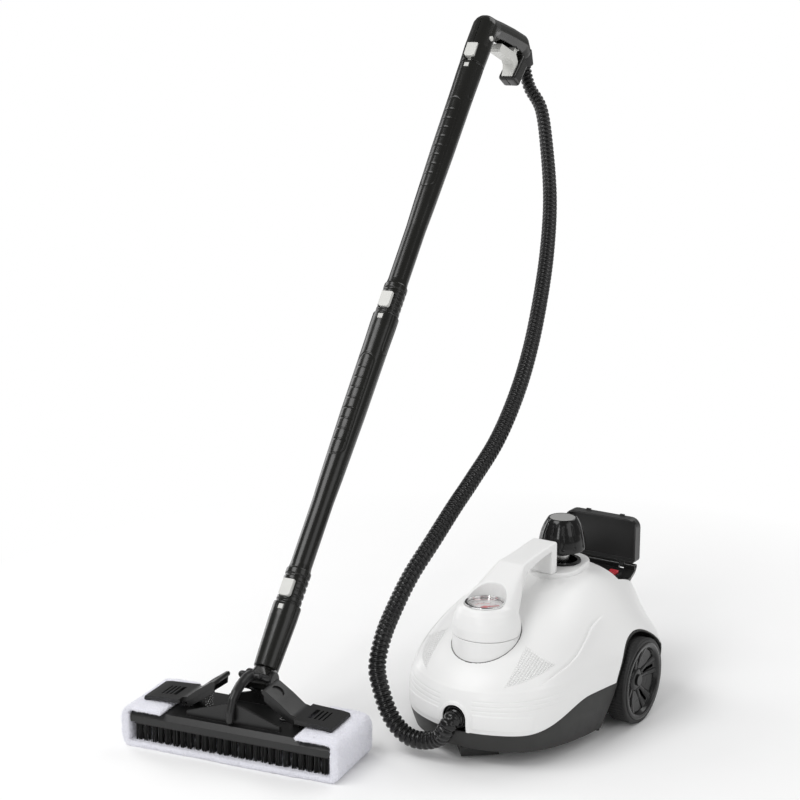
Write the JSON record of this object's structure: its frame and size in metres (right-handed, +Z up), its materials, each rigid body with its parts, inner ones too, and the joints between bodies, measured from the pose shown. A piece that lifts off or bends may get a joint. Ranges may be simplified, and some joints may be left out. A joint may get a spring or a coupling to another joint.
{
  "type": "canister steam cleaner",
  "caption": "White canister steam cleaner on wheels with pressure gauge pod, carry handle, screw filler cap, storage lid, ribbed hose, steam gun, extension wand and hinged floor mop head.",
  "frame": {"origin": "on the floor, under the middle of the footprint of the whole part", "axes": "+Z up, -Y towards the nose of the machine, +X to the side of the wheel seen in the picture; the wand and mop head stand on the -X side"},
  "size_m": [0.5638, 0.9924, 0.9326],
  "materials": {
    "upper_shell": "moulded white ABS, satin gloss",
    "base_pan": "moulded charcoal polypropylene, fine texture",
    "pod_base_ring": "moulded white ABS, satin gloss",
    "carry_handle": "moulded white ABS, satin gloss",
    "gauge_bezel": "polished",
    "gauge_lens": "clear lens",
    "gauge_dial": "printed dial",
    "gauge_needle": "painted needle",
    "boiler_cap": "moulded black plastic, gloss",
    "cap_plug": "turned brass",
    "cap_seal": "black flexible polymer",
    "filler_neck": "turned stainless",
    "neck_collar": "moulded black plastic, gloss",
    "boiler": "turned stainless",
    "heater_element": "turned stainless",
    "thermostat": "turned stainless",
    "pressure_switch": "moulded black plastic, satin",
    "safety_valve": "turned brass",
    "solenoid_valve": "moulded black plastic, satin",
    "steam_pipes": "turned brass",
    "storage_tray": "moulded black plastic, satin",
    "storage_lid": "moulded black plastic, gloss",
    "lid_pin": "turned stainless",
    "power_rocker": "moulded red plastic",
    "wheel_axle": "turned stainless",
    "axle_caps": "moulded black plastic, satin",
    "wheel_left": "moulded black plastic, satin",
    "wheel_right": "moulded black plastic, satin",
    "tyre_left": "black rubber",
    "tyre_right": "black rubber",
    "caster_fork": "moulded black plastic, satin",
    "caster_roller": "black rubber",
    "caster_pin": "turned stainless",
    "power_cord": "black flexible polymer",
    "cord_plug": "black flexible polymer",
    "hose_socket": "moulded black plastic, satin",
    "steam_hose": "black flexible polymer",
    "hose_cuffs": "moulded black plastic, satin",
    "gun_shell_left": "moulded black plastic, gloss",
    "gun_shell_right": "moulded black plastic, gloss",
    "gun_nozzle": "moulded black plastic, satin",
    "steam_trigger": "moulded light grey plastic",
    "trigger_pin": "turned stainless",
    "gun_lock_button": "moulded light grey plastic",
    "gun_release_button": "moulded light grey plastic",
    "upper_tube": "moulded black plastic, gloss",
    "upper_release_button": "moulded light grey plastic",
    "lower_tube": "moulded black plastic, gloss",
    "lower_release_button": "moulded light grey plastic",
    "neck_pipe": "moulded black plastic, gloss",
    "tilt_pin": "turned stainless",
    "yoke": "moulded black plastic, satin",
    "swing_pins": "turned stainless",
    "head_plate": "moulded black plastic, satin",
    "bristle_strips": "nylon bristle",
    "clip_left": "moulded black plastic, satin",
    "clip_right": "moulded black plastic, satin",
    "clip_pins": "turned stainless",
    "clip_springs": "turned stainless",
    "mop_cloth": "white microfibre terry"
  },
  "bodies": {
    "machine": {"upper_shell": "upper_shell", "base_pan": "base_pan", "pod_base_ring": "pod_base_ring", "carry_handle": "carry_handle", "gauge_bezel": "gauge_bezel", "gauge_lens": "gauge_lens", "gauge_dial": "gauge_dial", "filler_neck": "filler_neck", "neck_collar": "neck_collar", "boiler": "boiler", "heater_element": "heater_element", "thermostat": "thermostat", "pressure_switch": "pressure_switch", "safety_valve": "safety_valve", "solenoid_valve": "solenoid_valve", "steam_pipes": "steam_pipes", "storage_tray": "storage_tray", "lid_pin": "lid_pin", "wheel_axle": "wheel_axle", "axle_caps": "axle_caps", "power_cord": "power_cord", "cord_plug": "cord_plug", "hose_socket": "hose_socket", "steam_hose": "steam_hose", "hose_cuffs": "hose_cuffs", "gun_shell_left": "gun_shell_left", "gun_shell_right": "gun_shell_right", "gun_nozzle": "gun_nozzle", "trigger_pin": "trigger_pin", "upper_tube": "upper_tube", "lower_tube": "lower_tube", "neck_pipe": "neck_pipe"},
    "wheel_left": {"wheel_left": "wheel_left", "tyre_left": "tyre_left"},
    "wheel_right": {"wheel_right": "wheel_right", "tyre_right": "tyre_right"},
    "caster": {"caster_fork": "caster_fork", "caster_pin": "caster_pin"},
    "caster_roll": {"caster_roller": "caster_roller"},
    "cap_screw": {"cap_seal": "cap_seal"},
    "cap": {"boiler_cap": "boiler_cap", "cap_plug": "cap_plug"},
    "lid": {"storage_lid": "storage_lid"},
    "rocker": {"power_rocker": "power_rocker"},
    "needle": {"gauge_needle": "gauge_needle"},
    "trigger": {"steam_trigger": "steam_trigger"},
    "lock_button": {"gun_lock_button": "gun_lock_button"},
    "release_gun": {"gun_release_button": "gun_release_button"},
    "release_upper": {"upper_release_button": "upper_release_button"},
    "release_lower": {"lower_release_button": "lower_release_button"},
    "yoke": {"yoke": "yoke", "tilt_pin": "tilt_pin"},
    "head": {"head_plate": "head_plate", "bristle_strips": "bristle_strips", "swing_pins": "swing_pins", "clip_pins": "clip_pins", "clip_springs": "clip_springs", "mop_cloth": "mop_cloth"},
    "clip_left": {"clip_left": "clip_left"},
    "clip_right": {"clip_right": "clip_right"}
  },
  "joints": [
    {"name": "wheel_left_spin", "type": "hinge", "parent": "machine", "child": "wheel_left", "pos_m": [0.26693, -0.05118, 0.059], "axis": [1, 0, 0], "continuous": true},
    {"name": "wheel_right_spin", "type": "hinge", "parent": "machine", "child": "wheel_right", "pos_m": [0.00693, -0.05118, 0.059], "axis": [1, 0, 0], "continuous": true},
    {"name": "caster_swivel", "type": "hinge", "parent": "machine", "child": "caster", "pos_m": [0.13693, -0.25118, 0.02], "axis": [0, 0, 1], "continuous": true},
    {"name": "caster_roller_spin", "type": "hinge", "parent": "caster", "child": "caster_roll", "pos_m": [0.14592, -0.2619, 0.008], "axis": [0.766, 0.6428, 0], "continuous": true},
    {"name": "cap_lift", "type": "slide", "parent": "machine", "child": "cap_screw", "axis": [0, 0, 1], "range_m": [0, 0.026]},
    {"name": "cap_turn", "type": "hinge", "parent": "cap_screw", "child": "cap", "pos_m": [0.13693, -0.02018, 0.22], "axis": [0, 0, 1], "range_deg": [0, 1875]},
    {"name": "lid_swing", "type": "hinge", "parent": "machine", "child": "lid", "pos_m": [0.13693, 0.10082, 0.163], "axis": [1, 0, 0], "range_deg": [0, 90]},
    {"name": "rocker_tilt", "type": "hinge", "parent": "machine", "child": "rocker", "pos_m": [0.18093, 0.04862, 0.163], "axis": [1, 0, 0], "range_deg": [0, 12]},
    {"name": "needle_sweep", "type": "hinge", "parent": "machine", "child": "needle", "pos_m": [0.13693, -0.23118, 0.19], "axis": [0, 0, 1], "range_deg": [-270, 0]},
    {"name": "trigger_squeeze", "type": "hinge", "parent": "machine", "child": "trigger", "pos_m": [-0.20686, 0.42205, 0.876], "axis": [0.9945, 0.1051, 0], "range_deg": [0, 7], "stiffness_Nm_per_rad": 0.5},
    {"name": "lock_slide", "type": "slide", "parent": "machine", "child": "lock_button", "axis": [-0.9945, -0.1051, 0], "range_m": [0, 0.0025]},
    {"name": "release_gun_press", "type": "slide", "parent": "machine", "child": "release_gun", "axis": [-0.0806, 0.763, -0.6414], "range_m": [0, 0.005], "stiffness_N_per_m": 400},
    {"name": "release_upper_press", "type": "slide", "parent": "machine", "child": "release_upper", "axis": [-0.0806, 0.763, -0.6414], "range_m": [0, 0.005], "stiffness_N_per_m": 400},
    {"name": "release_lower_press", "type": "slide", "parent": "machine", "child": "release_lower", "axis": [-0.0806, 0.763, -0.6414], "range_m": [0, 0.005], "stiffness_N_per_m": 400},
    {"name": "neck_tilt", "type": "hinge", "parent": "machine", "child": "yoke", "pos_m": [-0.12424, -0.37249, 0.0795], "axis": [0.9856, 0.1689, 0], "range_deg": [-40, 20]},
    {"name": "head_swing", "type": "hinge", "parent": "yoke", "child": "head", "pos_m": [-0.11707, -0.41428, 0.062], "axis": [-0.1689, 0.9856, 0], "range_deg": [-8, 8]},
    {"name": "clip_left_press", "type": "hinge", "parent": "head", "child": "clip_left", "pos_m": [-0.19592, -0.42779, 0.058], "axis": [-0.1689, 0.9856, 0], "range_deg": [0, 12], "stiffness_Nm_per_rad": 1, "deforming": ["clip_springs"]},
    {"name": "clip_right_press", "type": "hinge", "parent": "head", "child": "clip_right", "pos_m": [-0.03822, -0.40076, 0.058], "axis": [-0.1689, 0.9856, 0], "range_deg": [-12, 0], "stiffness_Nm_per_rad": 1, "deforming": ["clip_springs"]}
  ],
  "couplings": [
    {"joint": "cap_turn", "follows": "cap_lift", "rad_per_m": 1256.6}
  ]
}
